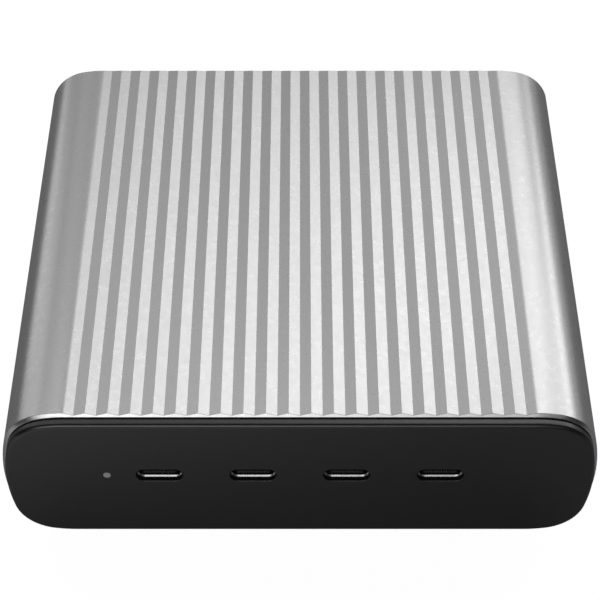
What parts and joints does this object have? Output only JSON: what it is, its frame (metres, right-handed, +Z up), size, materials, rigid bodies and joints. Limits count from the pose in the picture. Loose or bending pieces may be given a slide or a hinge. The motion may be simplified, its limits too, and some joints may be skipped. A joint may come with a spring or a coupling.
{
  "type": "multi port usb desktop charger",
  "caption": "Low, wide desktop USB charger: ribbed aluminium sleeve with full round flanks, black end bezels, a row of USB-C sockets, a status light and a mains inlet.",
  "frame": {"origin": "middle of the footprint, on the plane that the feet stand on", "axes": "+Z up, +X to the right seen from the ports, front with the ports towards -Y"},
  "size_m": [0.116, 0.1093, 0.0341],
  "materials": {
    "anodised_aluminium": "bead-blasted and clear anodised, satin",
    "black_plastic": "fine moulded texture, satin black",
    "socket_steel": "drawn and plated",
    "tongue_plastic": "moulded black",
    "light_pipe": "frosted, unlit",
    "foot_rubber": "matte",
    "inlet_plastic": "moulded black",
    "pin_metal": "nickel plated",
    "board_laminate": "glass-fibre laminate with solder mask",
    "insulating_sheet": "thin clear sheet",
    "ferrite": "sintered grey",
    "copper_wire": "enamelled copper",
    "capacitor_can": "drawn can",
    "moulded_package": "moulded resin",
    "film_capacitor_box": "moulded box",
    "bobbin_plastic": "moulded bobbin",
    "heat_plate": "rolled sheet",
    "pad_silicone": "soft silicone pad"
  },
  "bodies": {
    "root": {"ribbed_sleeve": "anodised_aluminium", "front_bezel": "black_plastic", "rear_bezel": "black_plastic", "usb_c_shell_1": "socket_steel", "usb_c_shell_2": "socket_steel", "usb_c_shell_3": "socket_steel", "usb_c_shell_4": "socket_steel", "usb_c_tongue_1": "tongue_plastic", "usb_c_tongue_2": "tongue_plastic", "usb_c_tongue_3": "tongue_plastic", "usb_c_tongue_4": "tongue_plastic", "led_light_pipe": "light_pipe", "status_led": "light_pipe", "foot_front_left": "foot_rubber", "foot_front_right": "foot_rubber", "foot_rear_left": "foot_rubber", "foot_rear_right": "foot_rubber", "inlet_body": "inlet_plastic", "inlet_pin_line": "pin_metal", "inlet_pin_neutral": "pin_metal", "inlet_pin_earth": "pin_metal", "main_board": "board_laminate", "port_board": "board_laminate", "insulating_film": "insulating_sheet", "transformer_core_lower": "ferrite", "transformer_core_upper": "ferrite", "boost_choke_core_lower": "ferrite", "boost_choke_core_upper": "ferrite", "line_choke_core_lower": "ferrite", "line_choke_core_upper": "ferrite", "transformer_winding": "copper_wire", "boost_choke_winding": "copper_wire", "line_choke_winding_1": "copper_wire", "line_choke_winding_2": "copper_wire", "bulk_capacitor_1": "capacitor_can", "bulk_capacitor_2": "capacitor_can", "bridge_rectifier": "moulded_package", "fuse": "moulded_package", "output_coil_1": "moulded_package", "output_coil_2": "moulded_package", "output_coil_3": "moulded_package", "output_coil_4": "moulded_package", "output_capacitor_1": "moulded_package", "output_capacitor_2": "moulded_package", "output_capacitor_3": "moulded_package", "output_capacitor_4": "moulded_package", "line_capacitor": "film_capacitor_box", "transformer_bobbin": "bobbin_plastic", "boost_choke_bobbin": "bobbin_plastic", "heat_spreader": "heat_plate", "thermal_pad": "pad_silicone"}
  },
  "joints": []
}
